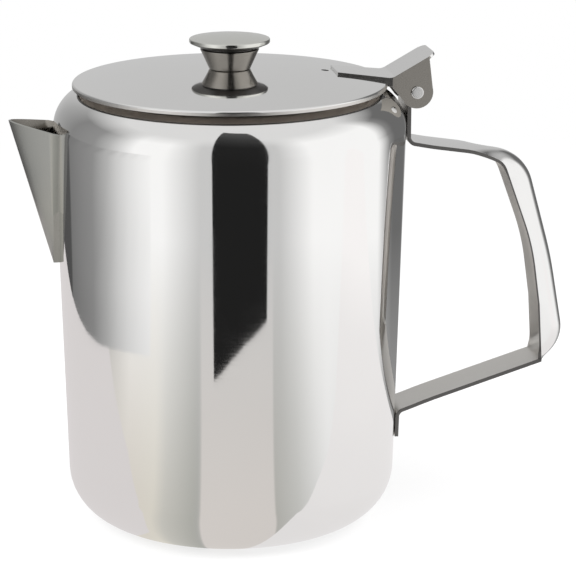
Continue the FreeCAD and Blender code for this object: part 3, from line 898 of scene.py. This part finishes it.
class POT_OT_hinge(bpy.types.Operator):
    """Finishes the hinge leaf and turns its rivet"""

    bl_idname = "pot.hinge"
    bl_label = "Hinge"

    def execute(self, context):
        s = context.scene.pot_hinge
        self.leaf(s, context.scene.pot_lid)
        self.rivet(s)
        return {"FINISHED"}

    def leaf(self, s, lid):
        """Finishes the folded leaf from its CAD solid."""
        same_plane = math.radians(0.5)
        bm = bmesh.new()
        bm.from_mesh(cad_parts["hinge_leaf"].data)
        bmesh.ops.remove_doubles(bm, verts=bm.verts[:], dist=2 * MERGE)
        bmesh.ops.dissolve_limit(
            bm, angle_limit=same_plane, verts=bm.verts[:], edges=bm.edges[:], delimit=set()
        )
        self.draw_out(bm, s, lid)
        self.close_front(bm, s)
        self.part_sides(bm, s)
        finishes = [strip_steel(), dark_shade_steel(), cut_and_shade_steel()]
        obj = steel_piece(bm, "leaf", "lid", "handle_steel", finishes, "hinge_leaf")
        ease_edges(obj, s.leaf_edge, angle=35, segments=3)

    def draw_out(self, bm, s, lid):
        """Draws the strap out towards its front, where it is lower and narrower."""
        front = min(v.co.x for v in bm.verts)
        for vert in bm.verts:
            part = max(0, (s.ear_x - vert.co.x) / (s.ear_x - front))
            dome = math.sqrt(lid.dome_r**2 - vert.co.x**2 - vert.co.y**2)
            surface = lid.crown_z - lid.dome_r + dome
            if part:
                vert.co.z = surface + (vert.co.z - surface) * (1 - part * (1 - s.front_height))
                vert.co.y *= 1 - part * (1 - s.front_width)

    def close_front(self, bm, s):
        """Folds the strap's front end down on to the lid, a little inside the strap's edges."""
        fold_width, fold_height, fold_middle = 0.95, 0.8, 0.42  # shares of the strap's front end
        set_back = s.front_sheet / 4
        front = min(v.co.x for v in bm.verts)
        ends = [v.co for v in bm.verts if v.co.x < front + set_back]
        wide = 2 * max(p.y for p in ends)
        low = min(p.z for p in ends)
        tall = max(p.z for p in ends) - low
        size = Matrix.Diagonal((s.front_sheet, wide * fold_width, tall * fold_height, 1))
        middle = (front + set_back + s.front_sheet / 2, 0, low + tall * fold_middle)
        bmesh.ops.create_cube(bm, size=1, matrix=Matrix.Translation(middle) @ size)

    def part_sides(self, bm, s):
        """Parts the sheared sides of the strap from the ears, giving the ears steel darkened with painted
        shade and the sheared sides their dark cut.
        """
        sideways = 0.9
        cut_faces(bm, bm.faces[:], (s.ear_x, 0, 0), (1, 0, 0))
        for face in bm.faces:
            if abs(face.normal.y) > sideways:
                face.material_index = 1 if face.calc_center_median().x > s.ear_x else 2

    def rivet(self, s):
        """Turns the pin with a rounded head at each end and lays it across the pot."""
        bm = bmesh.new()
        face = s.pin_half
        end = s.pin_half + s.head_t
        bend = s.head_t * s.head_bend
        points = [
            (s.head_r, -end),
            (s.head_r, -face),
            (s.pin_r, -face),
            (s.pin_r, face),
            (s.head_r, face),
            (s.head_r, end),
            (0, end),
        ]
        first = bm.verts.new(flat(0, -end))
        draw_bent(bm, first, points, [bend, 0, 0, 0, 0, bend], steps=6)
        turned(bm, steps=48)
        across = Matrix.Rotation(math.pi / 2, 3, "X")
        bmesh.ops.rotate(bm, cent=(0, 0, 0), matrix=across, verts=bm.verts[:])
        bmesh.ops.translate(bm, vec=(s.pin_x, 0, s.pin_z), verts=bm.verts[:])
        obj = steel_piece(bm, "rivet", "lid", "fastener_steel", [plain_steel()], "hinge_pin")
        ease_edges(obj, s.pin_edge)


class POT_OT_knob(bpy.types.Operator):
    """Turns the knob's neck and cap, its screw and its washer"""

    bl_idname = "pot.knob"
    bl_label = "Knob"

    def execute(self, context):
        s = context.scene.pot_knob
        socket = s.seam_z - s.spigot_h - s.fit
        bore = s.screw_r + s.fit
        neck = [
            (bore, s.foot_z + s.foot_hollow),
            (s.foot_r, s.foot_z),
            (s.neck_r, s.seam_z),
            (s.spigot_r + s.fit, s.seam_z),
            (s.spigot_r + s.fit, socket),
            (bore, socket),
        ]
        # The knob's neck gets steel darkened with painted shade.
        self.turn(s, "knob_neck", neck, s.neck_edge, "knob_steel", dark_shade_steel())
        screw = [
            (0, s.head_low),
            (s.head_r, s.head_low),
            (s.head_r, s.head_top),
            (s.screw_r, s.head_top),
            (s.screw_r, s.screw_top),
            (0, s.screw_top),
        ]
        self.turn(s, "knob_screw", screw, s.screw_edge, "fastener_steel", plain_steel())
        hole = s.screw_r + s.washer_play
        washer = [
            (hole, s.washer_low),
            (s.washer_r, s.washer_low),
            (s.washer_r, s.washer_top),
            (hole, s.washer_top),
        ]
        self.turn(s, "knob_washer", washer, s.washer_edge, "fastener_steel", plain_steel())
        self.cap(s)
        return {"FINISHED"}

    def turn(self, s, node, points, edge, slot, material):
        """Turns one round piece from its closed section."""
        bm = bmesh.new()
        closed_section(bm, points)
        turned(bm, s.steps)
        obj = steel_piece(bm, f"{node}_turned", "lid", slot, [material], node)
        ease_edges(obj, edge, angle=30, segments=3)

    def cap(self, s):
        """Turns the cap with its spigot, seam and crowned top."""
        shade_below = -0.3
        bm = bmesh.new()
        ball = (s.cap_r**2 + s.cap_crown**2) / (2 * s.cap_crown)
        centre = flat(0, s.cap_z + s.cap_crown - ball)
        first = bm.verts.new(flat(0, s.cap_z + s.cap_crown))
        vert = draw_arc(bm, first, centre, (0, 1, 0), math.asin(s.cap_r / ball), steps=8)
        foot = s.seam_z + s.seam_h
        points = [
            (s.cap_r, s.cap_z - s.cap_land),
            (s.cap_foot_r, foot),
            (s.seam_r, foot),
            (s.seam_r, s.seam_z + s.fit),
            (s.spigot_r, s.seam_z + s.fit),
            (s.spigot_r, s.seam_z - s.spigot_h),
            (0, s.seam_z - s.spigot_h),
        ]
        for p in points:
            vert = draw_to(bm, vert, flat(*p))
        turned(bm, s.steps)
        # The cap's down-facing faces get the dark steel as painted shade under the cap, and the seam below
        # it its dark joint.
        for face in bm.faces:
            if face.normal.z < shade_below or face.calc_center_median().z < foot:
                face.material_index = 1
        finishes = [cap_steel(), cut_and_shade_steel()]
        obj = steel_piece(bm, "knob_cap_turned", "lid", "knob_steel", finishes, "knob_cap")
        ease_edges(obj, s.cap_edge, angle=30, segments=4)


class POT_OT_stage(bpy.types.Operator):
    """Sets the camera, the soft light, the pale floor and the cards that the steel reflects"""

    bl_idname = "pot.stage"
    bl_label = "Stage"

    def execute(self, context):
        s = context.scene.pot_stage
        context.scene.view_settings.view_transform = "Standard"
        self.camera(context, s)
        self.world(context, s)
        self.floor(s)
        up = [(Matrix.Translation((0, 0, height)), (tone,) * 3) for height, tone in DARK_CARD_TONES]
        self.card("dark_card", DARK_CARD_FOOT, up)
        self.sheet("left_sheet", LEFT_SHEET_FOOT, LEFT_SHEET_TONE, depth=0.6)
        self.sheet("right_sheet", RIGHT_SHEET_FOOT, RIGHT_SHEET_TONE, depth=0.18)
        about = []
        for bearing, out, tone in SHADE_TONES:
            turn = Matrix.Rotation(math.radians(90 + bearing), 4, "Z") @ Matrix.Scale(out, 4)
            about.append((Matrix.Translation((0, 0, SHADE_LIFT)) @ turn, (tone,) * 3))
        self.card("left_shade", SHADE_FOOT, about)
        self.lamp("left_light", bearing=-70, watts=14)
        self.lamp("right_light", bearing=75, watts=12)
        return {"FINISHED"}

    def camera(self, context, s):
        """Stands the camera where the photograph was taken from."""
        data = bpy.data.cameras.new("camera")
        data.lens = s.lens
        data.sensor_width = 36
        obj = add_object("camera", data)
        aim = Matrix.Rotation(s.turn, 4, "Z") @ Matrix.Rotation(s.tilt, 4, "X")
        roll = Matrix.Rotation(s.roll, 4, "Z")
        obj.matrix_world = Matrix.Translation(s.camera) @ (aim @ roll)
        context.scene.camera = obj

    def world(self, context, s):
        """A plain room: white to the camera, with its soft panels and darker corners in the steel."""
        world = bpy.data.worlds.new("room")
        world.use_nodes = True
        context.scene.world = world
        tree = world.node_tree
        place = tree.nodes.new("ShaderNodeTexCoord").outputs["Generated"]
        walls = self.tones(tree, place, ROOM_TONES)
        split = add_node(tree, "ShaderNodeSeparateXYZ", {0: place})
        fade = {"From Min": math.sin(s.wall_top), "From Max": math.sin(s.ceiling)}
        height = add_node(tree, "ShaderNodeMapRange", {"Value": split.outputs["Z"], **fade})
        room = mix_colour(tree, height.outputs["Result"], walls, CEILING_TONE)
        seen = self.white_to_camera(tree, room)
        tree.links.new(seen, tree.nodes["Background"].inputs["Color"])

    def white_to_camera(self, tree, tone):
        """Plain white where the camera looks straight at it, its own tone in the steel."""
        path = tree.nodes.new("ShaderNodeLightPath").outputs
        return mix_colour(tree, path["Is Camera Ray"], tone, (1, 1, 1, 1))

    def tones(self, tree, vector, stops):
        """Tones laid round a point, each at its bearing in degrees."""
        split = add_node(tree, "ShaderNodeSeparateXYZ", {0: vector}).outputs
        away = add_node(tree, "ShaderNodeMath", {0: split["Y"], 1: -1}, operation="MULTIPLY")
        sides = {0: split["X"], 1: away.outputs[0]}
        turn = add_node(tree, "ShaderNodeMath", sides, operation="ARCTAN2")
        round_about = {"Value": turn.outputs[0], "From Min": -math.pi, "From Max": math.pi}
        value = add_node(tree, "ShaderNodeMapRange", round_about)
        ramp = add_node(tree, "ShaderNodeValToRGB", {"Fac": value.outputs["Result"]})
        elements = ramp.color_ramp.elements
        while len(elements) < len(stops):
            elements.new(1.0)
        for element, (bearing, tone) in zip(elements, stops):
            element.position = bearing / 360 + 0.5
            element.color = (*tone, 1) if isinstance(tone, tuple) else (tone, tone, tone, 1)
        return ramp.outputs["Color"]

    def floor(self, s):
        """The pale floor, which keeps the pot's shadow and shows painted shadows near the pot in the steel.
        """
        bm = bmesh.new()
        bmesh.ops.create_grid(bm, x_segments=1, y_segments=1, size=FLOOR_HALF)
        bmesh.ops.translate(bm, vec=(0, 0, -FLOOR_DROP), verts=bm.verts[:])
        material, tree = self.bare_material("pale_floor")
        place = tree.nodes.new("ShaderNodeTexCoord").outputs["Object"]
        point = add_node(tree, "ShaderNodeVectorMath", {0: place, 1: WEDGE_POINT}, operation="SUBTRACT")
        # Painted shadows near the pot, which only the steel sees.
        near = self.tones(tree, point.outputs[0], FLOOR_TONES)
        far = self.tones(tree, place, ROOM_TONES)
        reach = add_node(tree, "ShaderNodeVectorMath", {0: place}, operation="LENGTH").outputs["Value"]
        spread = {"Value": reach, "From Min": s.tones_near, "From Max": s.tones_far}
        blend = add_node(tree, "ShaderNodeMapRange", spread)
        tone = mix_colour(tree, blend.outputs["Result"], near, far)
        white = add_node(tree, "ShaderNodeEmission", {"Color": self.white_to_camera(tree, tone)})
        matt = add_node(tree, "ShaderNodeBsdfDiffuse", {"Color": FLOOR_PAINT})
        backdrop = {"Value": reach, "From Min": s.near, "From Max": s.far, "To Min": s.white}
        away = add_node(tree, "ShaderNodeMapRange", backdrop)
        path = tree.nodes.new("ShaderNodeLightPath").outputs
        seen = {0: path["Is Camera Ray"], 1: away.outputs["Result"], 2: path["Is Glossy Ray"]}
        weigh = add_node(tree, "ShaderNodeMath", seen, operation="MULTIPLY_ADD")
        both = {"Fac": weigh.outputs[0], 1: matt.outputs[0], 2: white.outputs[0]}
        mix = add_node(tree, "ShaderNodeMixShader", both)
        tree.links.new(mix.outputs[0], tree.nodes["Material Output"].inputs["Surface"])
        obj = mesh_object(bm, "floor", [material])

    def bare_material(self, name):
        """A material without its usual surface, and its nodes."""
        material = bpy.data.materials.new(name)
        material.use_nodes = True
        tree = material.node_tree
        tree.nodes.remove(tree.nodes["Principled BSDF"])
        return material, tree

    def sheet(self, name, foot, tone, depth):
        """A sheet on the floor, from the line of its foot backwards."""
        rows = [(Matrix.Translation((0, y, SHEET_LIFT)), tone) for y in (0, depth)]
        self.card(name, foot, rows)

    def card(self, name, foot, rows):
        """A card seen only in the steel, extruded row by row from the line of its foot."""
        bm = bmesh.new()
        colour_of = bm.verts.layers.float_color.new("tone")
        light_of = bm.verts.layers.float.new("light")
        verts = []
        for x, y, bright in foot:
            verts.append(bm.verts.new((x, y, 0)))
            verts[-1][light_of] = bright
        edges = [bm.edges.new(pair) for pair in zip(verts, verts[1:])]
        last = Matrix.Identity(4)
        for i, (place, tone) in enumerate(rows):
            if i > 0:
                made = bmesh.ops.extrude_edge_only(bm, edges=edges)["geom"]
                edges = [g for g in made if isinstance(g, bmesh.types.BMEdge)]
                verts = list({v for e in edges for v in e.verts})
            bmesh.ops.transform(bm, matrix=place @ last.inverted(), verts=verts)
            last = place
            for vert in verts:
                vert[colour_of] = (*[c * vert[light_of] for c in tone], 1)
        obj = mesh_object(bm, name, [self.glow(name)])
        for ray in ("camera", "diffuse", "shadow", "transmission"):
            setattr(obj, f"visible_{ray}", False)

    def glow(self, name):
        """A material that shows a card's own tones whatever the light."""
        material, tree = self.bare_material(name)
        tone = add_node(tree, "ShaderNodeAttribute", {}, attribute_name="tone")
        shine = add_node(tree, "ShaderNodeEmission", {"Color": tone.outputs["Color"]})
        tree.links.new(shine.outputs[0], tree.nodes["Material Output"].inputs["Surface"])
        return material

    def lamp(self, name, bearing, watts):
        """A soft lamp to one side."""
        data = bpy.data.lights.new(name, "AREA")
        data.shape = "DISK"
        data.size = LAMP_SIZE
        data.energy = watts
        obj = add_object(name, data)
        a = math.radians(bearing)
        place = Vector((math.sin(a) * LAMP_REACH, -math.cos(a) * LAMP_REACH, LAMP_HEIGHT))
        aim = (Vector((0, 0, LAMP_AIM)) - place).to_track_quat("-Z", "Y").to_matrix().to_4x4()
        obj.matrix_world = Matrix.Translation(place) @ aim
        obj.visible_glossy = False


class POT_PT_sidebar(bpy.types.Panel):
    """Lists the pieces of the coffee pot"""

    bl_idname = "POT_PT_sidebar"
    bl_label = "Coffee pot"
    bl_space_type = "VIEW_3D"
    bl_region_type = "UI"
    bl_category = "Coffee pot"

    def draw(self, context):
        for operator in OPERATORS:
            self.layout.operator(operator.bl_idname)
        for name in GROUPS:
            box = self.layout.box()
            group = getattr(context.scene, name)
            for key in group.bl_rna.properties.keys():
                if key not in ("rna_type", "name"):
                    box.prop(group, key)


OPERATORS = (
    POT_OT_vessel,
    POT_OT_lip,
    POT_OT_handle,
    POT_OT_lid,
    POT_OT_hinge,
    POT_OT_knob,
    POT_OT_stage,
)


def register():
    for group in GROUPS.values():
        bpy.utils.register_class(group)
    for cls in (*OPERATORS, POT_PT_sidebar):
        bpy.utils.register_class(cls)
    for name, group in GROUPS.items():
        setattr(bpy.types.Scene, name, PointerProperty(type=group))


def unregister():
    for name in GROUPS:
        delattr(bpy.types.Scene, name)
    for cls in (POT_PT_sidebar, *reversed(OPERATORS)):
        bpy.utils.unregister_class(cls)
    for group in GROUPS.values():
        bpy.utils.unregister_class(group)


def main():
    register()
    bpy.ops.pot.vessel()
    bpy.ops.pot.lip()
    bpy.ops.pot.handle()
    bpy.ops.pot.lid()
    bpy.ops.pot.hinge()
    bpy.ops.pot.knob()
    bpy.ops.pot.stage()


if __name__ == "__main__":
    main()
